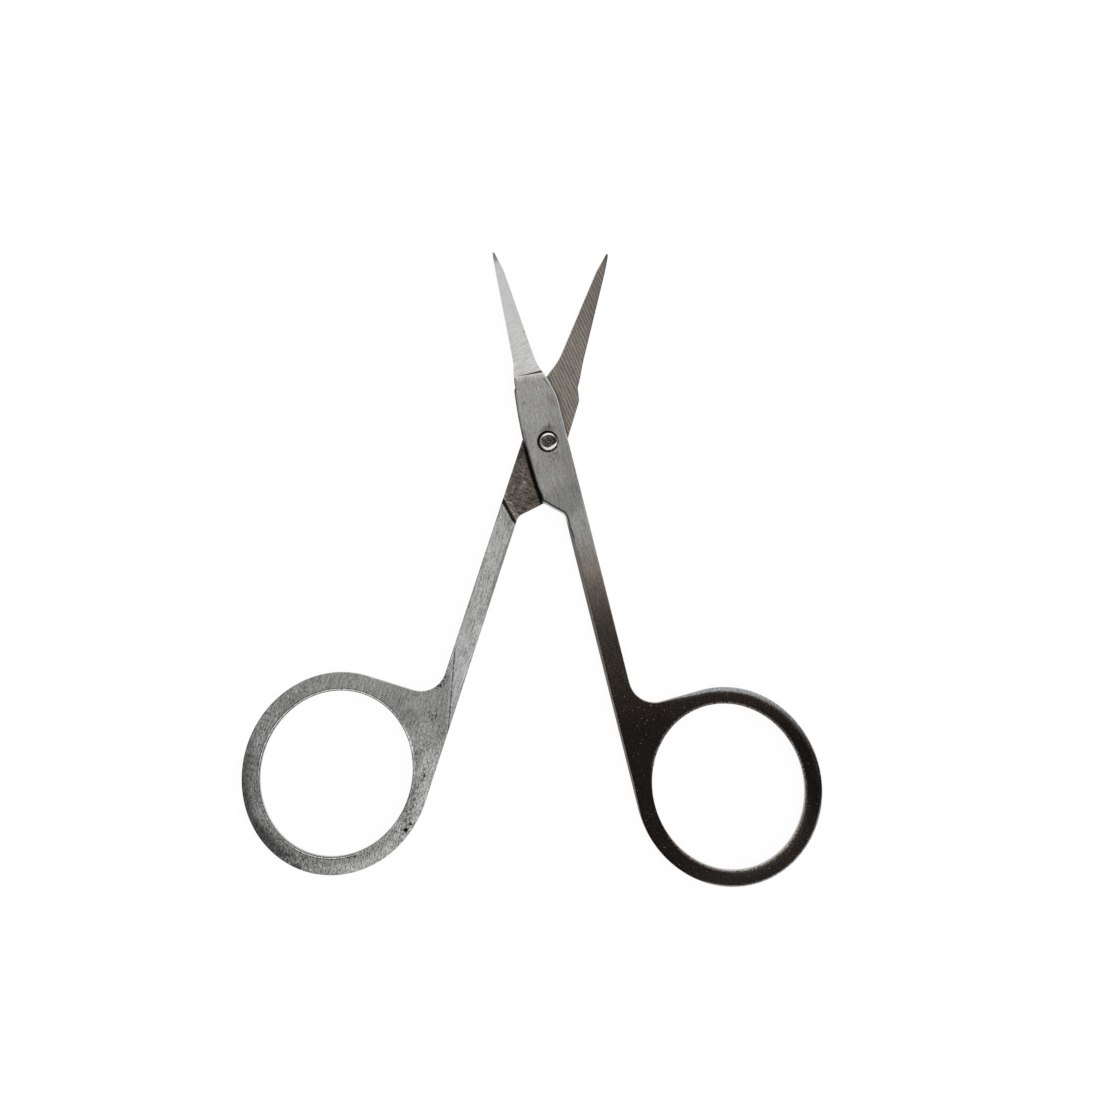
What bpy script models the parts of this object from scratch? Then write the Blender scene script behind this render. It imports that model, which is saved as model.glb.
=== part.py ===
"""Small all-steel cosmetic scissors: two ground halves crossed on one rivet.

Metres, +Z up. The scissors lie flat with the blades open, tips towards +Y.
The pivot axis is the world Z axis, and the face that they lie on is at z = 0.

Each half is drawn in a frame of its own, in which the scissors are closed:
u runs from the pivot towards the finger ring's side, v towards the tip, and
w from the middle of the stock towards the half's outer face. The rear half
is the same kind of piece as the front one, turned over about v.
"""

import math

import bmesh
import bpy
from mathutils import Matrix, Vector
from mathutils.geometry import interpolate_bezier

MM = 0.001

# Stock that both halves are made from, and the play between them
STOCK_THICKNESS = 2.2 * MM
EDGE_CHAMFER = 0.12 * MM
JOINT_GAP = 0.06 * MM

# How far each half is turned from closed
FRONT_OPEN_DEG = 15.75
REAR_OPEN_DEG = 17.25

# Blades, measured along v from the pivot
BLADE_REACH = 27.6 * MM
POINT_LENGTH = 3.0 * MM
BLADE_ROOT = 12.5 * MM
SHOULDER = 9.9 * MM
NECK = 8.5 * MM
TIP_RADIUS = 0.16 * MM
TIP_OFFSET = 0.15 * MM
EDGE_THICKNESS = 0.15 * MM
SHOULDER_RAKE_DEG = 6.5
FLARE_DEG = 22.0

# Blade widths from the pivot line, to the spine and to the cutting edge
FRONT_SPINE_AT_POINT = 0.62 * MM
FRONT_SPINE_AT_ROOT = 1.62 * MM
FRONT_SPINE_AT_NECK = 2.34 * MM
FRONT_CUT_AT_POINT = 0.60 * MM
FRONT_CUT_AT_ROOT = 1.34 * MM
FRONT_CUT_AT_SHOULDER = 1.84 * MM
REAR_SPINE_AT_POINT = 0.64 * MM
REAR_SPINE_AT_ROOT = 1.40 * MM
REAR_SPINE_AT_NECK = 1.76 * MM
REAR_CUT_AT_POINT = 0.60 * MM
REAR_CUT_AT_ROOT = 1.80 * MM
REAR_CUT_AT_SHOULDER = 2.44 * MM

# Pivot plates: the corner below the neck, the ring side and the slanted heel
FRONT_CORNER = 8.1 * MM
FRONT_SPINE_AT_CORNER = 2.62 * MM
FRONT_SPINE_AT_HEEL = 3.20 * MM
FRONT_PLATE_BULGE = 0.45 * MM
FRONT_PLATE_RING_SIDE = 2.95 * MM
REAR_CORNER = 6.8 * MM
REAR_SPINE_AT_CORNER = 2.52 * MM
REAR_SPINE_AT_HEEL = 2.60 * MM
REAR_PLATE_BULGE = 0.0 * MM
REAR_PLATE_RING_SIDE = 3.36 * MM
PLATE_SIDE = 5.0 * MM
HEEL = 7.9 * MM
HEEL_DEG = 44.0
HEEL_FILLET = 1.2 * MM
STEP_CLEARANCE = 1.5 * MM

# Shanks: their inner edge below the heel and their outer edge level with the ring's top
FRONT_SHANK_INNER = -0.50 * MM
FRONT_SHANK_OUTER = 1.75 * MM
REAR_SHANK_INNER = 0.85 * MM
REAR_SHANK_OUTER = 4.18 * MM

# Finger rings: an oval hole, the walls beside it and at its two ends, and the fillet to the shank
FRONT_RING_OFFSET = 11.22 * MM
FRONT_RING_DROP = 53.40 * MM
FRONT_WALL_BESIDE = 2.44 * MM
FRONT_WALL_AT_ENDS = 2.30 * MM
REAR_RING_OFFSET = 14.50 * MM
REAR_RING_DROP = 53.18 * MM
REAR_WALL_BESIDE = 2.52 * MM
REAR_WALL_AT_ENDS = 2.58 * MM
RING_HOLE_WIDTH = 21.15 * MM
RING_HOLE_LENGTH = 23.54 * MM
RING_TILT_DEG = 2.0
RING_FILLET = 3.6 * MM

# Rivet, with its head sunk into the front half and its tail closed flush in the rear half
RIVET_SHANK_RADIUS = 0.90 * MM
RIVET_CLEARANCE = 0.05 * MM
RIVET_HEAD_RADIUS = 1.26 * MM
RIVET_HEAD_FLAT = 1.00 * MM
RIVET_HEAD_PROUD = 0.26 * MM
RIVET_HEAD_RIM = 0.14 * MM
RIVET_TAIL_RADIUS = 1.40 * MM
RIVET_TAIL_DEPTH = 0.45 * MM
COUNTERBORE_RADIUS = 1.45 * MM
COUNTERBORE_DEPTH = 0.35 * MM

# How far a cutter reaches past what it cuts, and how near two points are one
OVERRUN = 1.0 * MM
WELD_DISTANCE = 0.0001 * MM

# Shares of the sizes that they shape
TIP_CHAMFER_SHARE = 0.75
POINT_BOW_SHARE = 0.3
CURVE_HANDLE_SHARE = 1 / 3
CURVE_RISE_SHARE = 3 / 4

# Segments in a full ring, in a short curve and in a turned piece, and the least angle of a sharp edge
RING_STEPS = 72
CURVE_STEPS = 8
TURNED_STEPS = 48
SHARP_DEG = 25.0

FRONT_SIZES = {
    "spine_at_point": FRONT_SPINE_AT_POINT,
    "spine_at_root": FRONT_SPINE_AT_ROOT,
    "spine_at_neck": FRONT_SPINE_AT_NECK,
    "spine_at_corner": FRONT_SPINE_AT_CORNER,
    "spine_at_heel": FRONT_SPINE_AT_HEEL,
    "cut_at_point": FRONT_CUT_AT_POINT,
    "cut_at_root": FRONT_CUT_AT_ROOT,
    "cut_at_shoulder": FRONT_CUT_AT_SHOULDER,
    "corner": FRONT_CORNER,
    "plate_bulge": FRONT_PLATE_BULGE,
    "plate_ring_side": FRONT_PLATE_RING_SIDE,
    "shank_inner": FRONT_SHANK_INNER,
    "shank_outer": FRONT_SHANK_OUTER,
    "ring_offset": FRONT_RING_OFFSET,
    "ring_drop": FRONT_RING_DROP,
    "wall_beside": FRONT_WALL_BESIDE,
    "wall_at_ends": FRONT_WALL_AT_ENDS,
}
REAR_SIZES = {
    "spine_at_point": REAR_SPINE_AT_POINT,
    "spine_at_root": REAR_SPINE_AT_ROOT,
    "spine_at_neck": REAR_SPINE_AT_NECK,
    "spine_at_corner": REAR_SPINE_AT_CORNER,
    "spine_at_heel": REAR_SPINE_AT_HEEL,
    "cut_at_point": REAR_CUT_AT_POINT,
    "cut_at_root": REAR_CUT_AT_ROOT,
    "cut_at_shoulder": REAR_CUT_AT_SHOULDER,
    "corner": REAR_CORNER,
    "plate_bulge": REAR_PLATE_BULGE,
    "plate_ring_side": REAR_PLATE_RING_SIDE,
    "shank_inner": REAR_SHANK_INNER,
    "shank_outer": REAR_SHANK_OUTER,
    "ring_offset": REAR_RING_OFFSET,
    "ring_drop": REAR_RING_DROP,
    "wall_beside": REAR_WALL_BESIDE,
    "wall_at_ends": REAR_WALL_AT_ENDS,
}


def clear_scene():
    for old in list(bpy.data.objects):
        bpy.data.objects.remove(old, do_unlink=True)


def new_collection(name):
    collection = bpy.data.collections.new(name)
    bpy.context.scene.collection.children.link(collection)
    return collection


def steel(name, colour, roughness):
    material = bpy.data.materials.new(name)
    material.use_nodes = True
    shader = material.node_tree.nodes["Principled BSDF"]
    shader.inputs["Base Color"].default_value = (*colour, 1.0)
    shader.inputs["Metallic"].default_value = 1.0
    shader.inputs["Roughness"].default_value = roughness
    return material


def bend(start, leaving, arriving, end, handle):
    """A smooth stretch from start to end, with its direction and handle length given at both ends."""
    points = interpolate_bezier(start, start + leaving * handle, end - arriving * handle, end, CURVE_STEPS)
    return [point.to_2d() for point in points]


def rounded_corner(before, corner, after, radius):
    """The corner of two straight edges, rounded off."""
    back = (before - corner).normalized()
    on = (after - corner).normalized()
    half_angle = back.angle(on) / 2
    centre = corner + (back + on).normalized() * (radius / math.sin(half_angle))
    spoke = corner + back * (radius / math.tan(half_angle)) - centre
    sweep = math.copysign(math.pi - 2 * half_angle, on.cross(back))
    turns = [Matrix.Rotation(sweep * i / CURVE_STEPS, 2) for i in range(CURVE_STEPS + 1)]
    return [centre + turn @ spoke for turn in turns]


def joined(*stretches):
    """The stretches as one closed loop of points, without repeats where they meet."""
    loop = []
    for point in (point for stretch in stretches for point in stretch):
        if not loop or (point - loop[-1]).length > WELD_DISTANCE:
            loop.append(point)
    if (loop[0] - loop[-1]).length < WELD_DISTANCE:
        loop.pop()
    return loop


class Oval:
    """An oval around a finger hole, with given walls left between the two."""

    def __init__(self, sizes, wall_beside, wall_at_ends):
        self.centre = Vector((sizes["ring_offset"], -sizes["ring_drop"]))
        self.half_width = RING_HOLE_WIDTH / 2 + wall_beside
        self.half_length = RING_HOLE_LENGTH / 2 + wall_at_ends
        self.turn = Matrix.Rotation(math.radians(RING_TILT_DEG), 2)

    def point(self, angle):
        return self.centre + self.turn @ Vector(
            (self.half_width * math.cos(angle), self.half_length * math.sin(angle))
        )

    def heading(self, angle):
        along = Vector((-self.half_width * math.sin(angle), self.half_length * math.cos(angle)))
        return (self.turn @ along).normalized()

    def tangent_angle(self, outside):
        """Where a straight edge from a point above meets the oval on its pivot side."""
        seen = self.turn.transposed() @ (outside - self.centre)
        unit = Vector((seen.x / self.half_width, seen.y / self.half_length))
        return math.atan2(unit.y, unit.x) + math.acos(1 / unit.length)

    def points(self, start, end):
        steps = round(RING_STEPS * (end - start) / math.tau)
        return [self.point(start + (end - start) * i / steps) for i in range(steps + 1)]


def cutting_side(sizes):
    """From the plate's ring side up the flare and the cutting edge to the tip."""
    plate = Vector((sizes["plate_ring_side"], PLATE_SIDE))
    shoulder = Vector((sizes["cut_at_shoulder"], SHOULDER))
    root = Vector((sizes["cut_at_root"], BLADE_ROOT))
    point = Vector((sizes["cut_at_point"], BLADE_REACH - POINT_LENGTH))
    tip = tip_centre() + Vector((TIP_RADIUS, 0))
    up = Vector((0, 1))
    flare = Vector((-math.sin(math.radians(FLARE_DEG)), math.cos(math.radians(FLARE_DEG))))
    edge = (point - root).normalized()
    return joined(
        bend(plate, up, flare, shoulder, (SHOULDER - PLATE_SIDE) * CURVE_HANDLE_SHARE),
        bend(shoulder, flare, edge, root, (BLADE_ROOT - SHOULDER) * CURVE_HANDLE_SHARE),
        bend(point, edge, (tip - point).normalized(), tip, POINT_LENGTH * POINT_BOW_SHARE),
    )


def tip_centre():
    return Vector((-TIP_OFFSET, BLADE_REACH - TIP_RADIUS))


def tip_arc():
    angles = [math.pi * i / CURVE_STEPS for i in range(CURVE_STEPS + 1)]
    return [tip_centre() + Vector((math.cos(a), math.sin(a))) * TIP_RADIUS for a in angles]


def spine_side(sizes):
    """From the tip down the spine, past the neck and the plate's corner to the heel."""
    tip = tip_centre() - Vector((TIP_RADIUS, 0))
    point = Vector((-sizes["spine_at_point"], BLADE_REACH - POINT_LENGTH))
    root = Vector((-sizes["spine_at_root"], BLADE_ROOT))
    neck = Vector((-sizes["spine_at_neck"], NECK))
    corner = Vector((-sizes["spine_at_corner"], sizes["corner"]))
    heel = heel_corner(sizes)
    bulge = Vector((-sizes["plate_bulge"], 0)) / CURVE_RISE_SHARE
    side = (heel - corner) * CURVE_HANDLE_SHARE
    plate = interpolate_bezier(corner, corner + side + bulge, heel - side + bulge, heel, CURVE_STEPS)
    down = Vector((0, -1))
    spine = (root - point).normalized()
    return joined(
        bend(tip, (point - tip).normalized(), spine, point, POINT_LENGTH * POINT_BOW_SHARE),
        bend(root, spine, down, neck, (BLADE_ROOT - NECK) * CURVE_HANDLE_SHARE),
        [at.to_2d() for at in plate],
    )


def heel_corner(sizes):
    return Vector((-sizes["spine_at_heel"], -HEEL))


def heel_direction():
    return Vector((math.cos(math.radians(HEEL_DEG)), -math.sin(math.radians(HEEL_DEG))))


def handle_side(sizes):
    """From the heel down the shank's inner edge, round the ring and up to the shank's outer edge."""
    ring = Oval(sizes, sizes["wall_beside"], sizes["wall_at_ends"])
    corner = heel_corner(sizes)
    along = heel_direction()
    heel_end = corner + along * ((sizes["shank_inner"] - corner.x) / along.x)
    ring_start = ring.tangent_angle(heel_end)
    ring_end = math.tau + math.radians(90 - RING_TILT_DEG)
    ring_top = ring.point(ring_end)
    shank_foot = Vector((sizes["shank_outer"], ring_top.y))
    plate = Vector((sizes["plate_ring_side"], PLATE_SIDE))
    return joined(
        rounded_corner(corner, heel_end, ring.point(ring_start), HEEL_FILLET),
        ring.points(ring_start, ring_end),
        rounded_corner(ring_top, shank_foot, plate, RING_FILLET),
    )


def outline_curve(name, loops, collection):
    """The stock, cut to the outline and chamfered along its edges, as a flat filled curve."""
    chamfer = min(EDGE_CHAMFER, TIP_RADIUS * TIP_CHAMFER_SHARE)
    curve = bpy.data.curves.new(name, "CURVE")
    curve.dimensions = "2D"
    curve.fill_mode = "BOTH"
    curve.extrude = STOCK_THICKNESS / 2 - chamfer
    curve.bevel_depth = chamfer
    curve.bevel_resolution = 0
    curve.offset = -chamfer
    for loop in loops:
        spline = curve.splines.new("POLY")
        spline.points.add(len(loop) - 1)
        for at, place in zip(spline.points, loop):
            at.co = (place.x, place.y, 0.0, 1.0)
        spline.use_cyclic_u = True
    blank = bpy.data.objects.new(name, curve)
    collection.objects.link(blank)
    return blank


def as_mesh(source, collection):
    """The source's solid as a plain mesh, with loose caps welded on and only its round faces smooth."""
    bpy.context.view_layer.update()
    graph = bpy.context.evaluated_depsgraph_get()
    mesh = bpy.data.meshes.new_from_object(source.evaluated_get(graph))
    welded = bmesh.new()
    welded.from_mesh(mesh)
    bmesh.ops.remove_doubles(welded, verts=welded.verts, dist=WELD_DISTANCE)
    bmesh.ops.recalc_face_normals(welded, faces=welded.faces)
    welded.to_mesh(mesh)
    welded.free()
    mesh.shade_smooth()
    mesh.set_sharp_from_angle(angle=math.radians(SHARP_DEG))
    name = source.name
    bpy.data.objects.remove(source, do_unlink=True)
    solid = bpy.data.objects.new(name, mesh)
    collection.objects.link(solid)
    return solid


def cut(body, cutter):
    cutter.parent = body
    cutter.hide_render = True
    cutter.display_type = "WIRE"
    boolean = body.modifiers.new(cutter.name, "BOOLEAN")
    boolean.operation = "DIFFERENCE"
    boolean.object = cutter


def block(name, size, corner, x_axis, z_axis, collection):
    """A box that starts at the middle of one lower edge and reaches along its own +Y and +Z."""
    x = x_axis.normalized()
    y = z_axis.cross(x).normalized()
    frame = Matrix((x, y, x.cross(y))).transposed().to_4x4()
    bpy.ops.mesh.primitive_cube_add(size=1)
    box = bpy.context.object
    box.name = name
    for other in list(box.users_collection):
        other.objects.unlink(box)
    collection.objects.link(box)
    box.data.transform(Matrix.Translation((0, 1 / 2, 1 / 2)))
    box.data.transform(Matrix.Translation(corner) @ frame @ Matrix.Diagonal((*size, 1)))
    return box


def halving_block(name, mate, collection):
    """Clears the inner half of the stock for the mate, down to a step that its heel stays clear of."""
    along = heel_direction()
    mate_along = Vector((-along.x, along.y))
    away = Vector((-mate_along.y, mate_along.x))
    step = Vector((mate["spine_at_heel"], -HEEL)) + away * STEP_CLEARANCE
    reach = 2 * BLADE_REACH + OVERRUN
    corner = Vector((step.x, step.y, JOINT_GAP / 2 - STOCK_THICKNESS))
    x_axis = Vector((-mate_along.x, -mate_along.y, 0))
    return block(name, (reach, reach, STOCK_THICKNESS), corner, x_axis, Vector((0, 0, 1)), collection)


def grinding_block(name, sizes, collection):
    """Takes the long bevel off the blade's outer face, from the spine at the shoulder to an even edge."""
    rake = math.tan(math.radians(SHOULDER_RAKE_DEG))
    spine_u = -sizes["spine_at_neck"]
    edge_u = sizes["cut_at_shoulder"]
    edge_w = JOINT_GAP / 2 + EDGE_THICKNESS
    spine = Vector((spine_u, SHOULDER - spine_u * rake, STOCK_THICKNESS / 2))
    edge = Vector((edge_u, SHOULDER - edge_u * rake, edge_w))
    point = Vector((sizes["cut_at_point"], BLADE_REACH - POINT_LENGTH, edge_w))
    facing = (edge - spine).cross(point - edge)
    reach = BLADE_REACH + OVERRUN
    return block(name, (reach, reach, STOCK_THICKNESS), (spine + edge) / 2, edge - spine, facing, collection)


def turned(name, profile, collection):
    """A solid of revolution about Z, from a profile that runs down its outer side."""
    mesh = bpy.data.meshes.new(name)
    mesh.from_pydata([(r, 0, z) for r, z in profile], [(i, i + 1) for i in range(len(profile) - 1)], [])
    blank = bpy.data.objects.new(name, mesh)
    collection.objects.link(blank)
    screw = blank.modifiers.new("turn", "SCREW")
    screw.steps = TURNED_STEPS
    screw.render_steps = TURNED_STEPS
    screw.use_merge_vertices = True
    screw.merge_threshold = WELD_DISTANCE
    return as_mesh(blank, collection)


def head_seat_profile():
    """The front half's hole, with a counterbore for the rivet's head, along w."""
    hole = RIVET_SHANK_RADIUS + RIVET_CLEARANCE
    outer = STOCK_THICKNESS / 2
    return [
        (0, outer + OVERRUN),
        (COUNTERBORE_RADIUS, outer + OVERRUN),
        (COUNTERBORE_RADIUS, outer - COUNTERBORE_DEPTH),
        (hole, outer - COUNTERBORE_DEPTH),
        (hole, -outer - OVERRUN),
        (0, -outer - OVERRUN),
    ]


def tail_seat_profile():
    """The rear half's hole, with a countersink for the rivet's tail, along w."""
    hole = RIVET_SHANK_RADIUS + RIVET_CLEARANCE
    outer = STOCK_THICKNESS / 2
    slope = (RIVET_TAIL_RADIUS - RIVET_SHANK_RADIUS) / RIVET_TAIL_DEPTH
    return [
        (0, outer + OVERRUN),
        (hole + slope * (RIVET_TAIL_DEPTH + OVERRUN), outer + OVERRUN),
        (hole, outer - RIVET_TAIL_DEPTH),
        (hole, -outer - OVERRUN),
        (0, -outer - OVERRUN),
    ]


def rivet_profile():
    """From the middle of the head's flat top, down the outside, to the middle of the tail."""
    top = STOCK_THICKNESS + RIVET_HEAD_PROUD
    head_seat = STOCK_THICKNESS - COUNTERBORE_DEPTH + RIVET_CLEARANCE
    return [
        (0, top),
        (RIVET_HEAD_FLAT, top),
        (RIVET_HEAD_RADIUS, top - RIVET_HEAD_RIM),
        (RIVET_HEAD_RADIUS, head_seat),
        (RIVET_SHANK_RADIUS, head_seat),
        (RIVET_SHANK_RADIUS, RIVET_TAIL_DEPTH),
        (RIVET_TAIL_RADIUS, 0),
        (0, 0),
    ]


def make_half(name, sizes, mate, seat_profile, material, parts, cutters):
    outline = joined(handle_side(sizes), cutting_side(sizes), tip_arc(), spine_side(sizes))
    hole = joined(Oval(sizes, 0, 0).points(0, math.tau))
    half = as_mesh(outline_curve(name, [outline, hole], parts), parts)
    half.data.materials.append(material)
    cut(half, halving_block(name + "_halving", mate, cutters))
    cut(half, grinding_block(name + "_grinding", sizes, cutters))
    cut(half, turned(name + "_rivet_seat", seat_profile, cutters))
    return half


def main():
    clear_scene()
    parts = new_collection("cosmetic_scissors")
    cutters = new_collection("cutters")
    satin = steel("satin_steel", (0.50, 0.50, 0.48), 0.38)
    bright = steel("bright_steel", (0.62, 0.61, 0.62), 0.18)
    middle = Matrix.Translation((0, 0, STOCK_THICKNESS / 2))

    front = make_half("front_half", FRONT_SIZES, REAR_SIZES, head_seat_profile(), satin, parts, cutters)
    front.matrix_world = middle @ Matrix.Rotation(math.radians(FRONT_OPEN_DEG), 4, "Z")

    rear = make_half("rear_half", REAR_SIZES, FRONT_SIZES, tail_seat_profile(), satin, parts, cutters)
    turned_over = Matrix.Rotation(math.pi, 4, "Y")
    rear.matrix_world = middle @ Matrix.Rotation(-math.radians(REAR_OPEN_DEG), 4, "Z") @ turned_over

    rivet = turned("pivot_rivet", rivet_profile(), parts)
    rivet.data.materials.append(bright)


main()
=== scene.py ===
import math

import bpy
import numpy as np
from mathutils import Matrix, Vector, geometry, kdtree


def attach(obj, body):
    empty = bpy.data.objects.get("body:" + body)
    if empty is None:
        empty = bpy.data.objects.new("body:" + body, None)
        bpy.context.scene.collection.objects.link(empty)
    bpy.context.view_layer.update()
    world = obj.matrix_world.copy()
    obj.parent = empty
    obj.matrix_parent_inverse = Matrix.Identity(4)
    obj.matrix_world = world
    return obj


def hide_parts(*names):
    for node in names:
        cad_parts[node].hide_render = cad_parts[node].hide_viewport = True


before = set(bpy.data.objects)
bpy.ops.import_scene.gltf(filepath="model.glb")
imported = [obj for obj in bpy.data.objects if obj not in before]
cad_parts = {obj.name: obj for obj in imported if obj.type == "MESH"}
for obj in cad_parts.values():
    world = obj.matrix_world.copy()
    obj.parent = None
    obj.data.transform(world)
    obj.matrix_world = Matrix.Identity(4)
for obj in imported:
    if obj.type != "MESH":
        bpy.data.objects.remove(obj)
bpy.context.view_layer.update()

# Front half
# One strip of stainless steel, stamped out with its finger ring and then ground: the plate on both
# sides of the rivet, the underside where it crosses the other half, and the blade from the shoulder
# up. It is drawn closed, in millimetres: u towards the ring's side, v towards the tip, w outwards.

MM = 0.001
STOCK = 2.2
JOINT_FACE = 0.03
EDGE_THICK = 0.15
FRONT_OPEN = 15.75
FRONT = dict(
    spine_at_point=0.62, spine_at_root=1.62, spine_at_neck=2.34, corner=8.1, spine_at_corner=2.62,
    spine_at_heel=3.20, plate_bulge=0.45, cut_at_point=0.58, cut_at_root=1.34, cut_at_shoulder=1.84,
    plate_ring_side=2.95, shank_inner=-0.50, shank_outer=1.75,
    ring_offset=11.22, ring_drop=53.40, wall_beside=2.44, wall_at_ends=2.30,
    filed_side=0.34, worn_ring=0.72, worn_ring_way=np.exp(1j * math.radians(55)), ridge=0.0,
)
POINT, ROOT, SHOULDER, NECK = 24.6, 12.5, 9.9, 8.5
# The ground face starts a little below the shoulder's corner.
GROUND_LINE = 9.68
TIP = -0.15 + 27.44j
TIP_RADIUS = 0.16
FLARE = np.exp(1j * math.radians(90 + 22))
RAKE = math.tan(math.radians(6.5))
PLATE_SIDE, HEEL, HEEL_FILLET = 5.0, 7.9, 1.2
HEEL_RUN = np.exp(-1j * math.radians(44))
STEP_CLEARANCE = 1.5
HOLE_WIDTH, HOLE_LENGTH, RING_TILT, RING_FILLET = 21.15, 23.54, 2.0, 3.6
BORE = 0.95


def unit(step):
    """The direction of a step, one long."""
    return step / abs(step)


def bend(start, leaving, arriving, end, pull, steps=16):
    """A smooth stretch that leaves and arrives in given directions."""
    t = np.linspace(0, 1, steps + 1)
    near, far = start + unit(leaving) * pull, end - unit(arriving) * pull
    return (1 - t) ** 3 * start + 3 * (1 - t) ** 2 * t * near + 3 * (1 - t) * t**2 * far + t**3 * end


def rounded(before, corner, after, radius, steps=16):
    """The corner of two straight edges, rounded off."""
    back, on = unit(before - corner), unit(after - corner)
    half = abs(np.angle(on / back)) / 2
    centre = corner + unit(back + on) * radius / math.sin(half)
    sweep = math.copysign(math.pi - 2 * half, np.angle(back / on))
    spoke = corner + back * radius / math.tan(half) - centre
    return centre + spoke * np.exp(1j * sweep * np.linspace(0, 1, steps + 1))


def oval(size, beside, at_ends, angles):
    """Points round the finger hole, with walls of given widths left outside it."""
    x = (HOLE_WIDTH / 2 + beside) * np.cos(angles)
    y = (HOLE_LENGTH / 2 + at_ends) * np.sin(angles)
    return size["ring_offset"] - 1j * size["ring_drop"] + (x + 1j * y) * np.exp(1j * math.radians(RING_TILT))


RING_POINTS, TIP_POINTS, TIP_PULL = 260, 13, 0.9


def half_outline(size):
    """The half's edge, anticlockwise from the heel: inner shank, ring, outer shank, plate, tip and spine."""
    corner = -size["spine_at_heel"] - 1j * HEEL
    heel_end = corner + HEEL_RUN * (size["shank_inner"] - corner.real) / HEEL_RUN.real
    turn = np.linspace(math.pi / 2, math.pi * 3 / 2, 400)
    away = np.angle((oval(size, size["wall_beside"], size["wall_at_ends"], turn) - heel_end) * 1j)
    start = turn[np.argmin(away)]
    ring = oval(size, size["wall_beside"], size["wall_at_ends"],
                np.linspace(start, math.tau + math.radians(90 - RING_TILT), RING_POINTS))
    foot = size["shank_outer"] + 1j * ring[-1].imag
    plate = size["plate_ring_side"] + 1j * PLATE_SIDE
    shoulder = size["cut_at_shoulder"] + 1j * SHOULDER
    root = size["cut_at_root"] + 1j * ROOT
    point = size["cut_at_point"] + 1j * POINT
    back_point = -size["spine_at_point"] + 1j * POINT
    back_root = -size["spine_at_root"] + 1j * ROOT
    neck = -size["spine_at_neck"] + 1j * NECK
    top = -size["spine_at_corner"] + 1j * size["corner"]
    tip_start, tip_end = TIP + TIP_RADIUS, TIP - TIP_RADIUS
    side = (corner - top) / 3
    bulge = -size["plate_bulge"] * 4 / 3
    return np.concatenate([
        rounded(corner, heel_end, ring[0], HEEL_FILLET), ring, rounded(ring[-1], foot, plate, RING_FILLET),
        bend(plate, 1j, FLARE, shoulder, (SHOULDER - PLATE_SIDE) / 3),
        bend(shoulder, FLARE, point - root, root, (ROOT - SHOULDER) / 3),
        bend(point, unit(point - root) + unit(TIP - point), tip_start - point, tip_start, TIP_PULL),
        TIP + TIP_RADIUS * np.exp(1j * np.linspace(0, math.pi, TIP_POINTS)),
        bend(tip_end, back_point - TIP, back_root - back_point, back_point, TIP_PULL),
        bend(back_root, back_root - back_point, -1j, neck, (ROOT - NECK) / 3),
        bend(top, side + bulge, side - bulge, corner, abs(side + bulge)),
    ])


def divided(points, gap, inset=0.01):
    """The loop without repeated points, a hair inside, and with its long edges divided."""
    loop = [points[0]]
    for point in points[1:]:
        if abs(point - loop[-1]) > 0.01:
            loop.append(point)
    if abs(loop[0] - loop[-1]) < 0.01:
        loop.pop()
    loop = np.array(loop)
    loop = loop + 1j * inset * unit(np.roll(loop, -1) - np.roll(loop, 1))
    parts = [a + (b - a) * np.arange(n) / n for a, b in zip(loop, np.roll(loop, -1))
             for n in [math.ceil(abs(b - a) / gap)]]
    return np.concatenate(parts)


def depth_in(points, loop):
    """How deep points lie inside an anticlockwise loop."""
    tree = kdtree.KDTree(len(loop))
    for i, point in enumerate(loop):
        tree.insert((point.real, point.imag, 0), i)
    tree.balance()
    near = np.array([tree.find((point.real, point.imag, 0))[1] for point in points])
    behind, ahead = np.roll(loop, 1)[near], np.roll(loop, -1)[near]
    best = abs(points - loop[near])
    side = ((ahead - behind).conjugate() * (points - loop[near])).imag
    for a, b in ((behind, loop[near]), (loop[near], ahead)):
        share = ((points - a) * (b - a).conjugate()).real / abs(b - a) ** 2
        square = ((b - a).conjugate() * (points - a)).imag / abs(b - a)
        closer = (share > 0) & (share < 1) & (abs(square) <= best)
        best, side = np.where(closer, abs(square), best), np.where(closer, square, side)
    return np.copysign(best, side)


def ease(low, high, value):
    """0 at low, 1 at high and beyond, and smooth between."""
    share = np.clip((value - low) / (high - low), 0, 1)
    return share * share * (3 - 2 * share)


def on_inner_side(size, flat):
    """Whether points are on the spine's side of the plate, or on the shank's side that faces the other."""
    return flat.real < np.where(flat.imag < -8, (size["shank_inner"] + size["shank_outer"]) / 2, 0)


ROUNDING_HANDLE, ROUNDING_BLADE = 0.13, 0.07


def edge_widths(size, flat, at_hole, filed):
    """Widths of the rounded edge, of the steep filed side outside it and of the worn band inside it."""
    v = flat.imag
    blade, handle = ease(8.1, 9, v), ease(-34, -38, v)
    spoke = flat - size["ring_offset"] + 1j * size["ring_drop"]
    facing = (spoke * size["worn_ring_way"].conjugate()).real / (abs(spoke) + 1e-9)
    worn = size["worn_ring"] * ease(0.45, 0.98, facing) * handle * (1 - at_hole)
    steep = size["filed_side"] * ease(1.5, 0.7, v) * (1 - 0.35 * ease(-20, -40, v)) * (1 - ease(-48, -58, v))
    steep = steep * (1 - 0.4 * ease(-7, -9, v) * ease(-14, -12, v))
    steep = np.where(on_inner_side(size, flat) & filed & np.logical_not(at_hole), steep, 0)
    return ROUNDING_HANDLE * (1 - blade) + ROUNDING_BLADE * blade, steep, worn


FILED_SLOPE = 2.4
WORN_SHARE, WORN_CURVE = 0.50, 1.2


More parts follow.
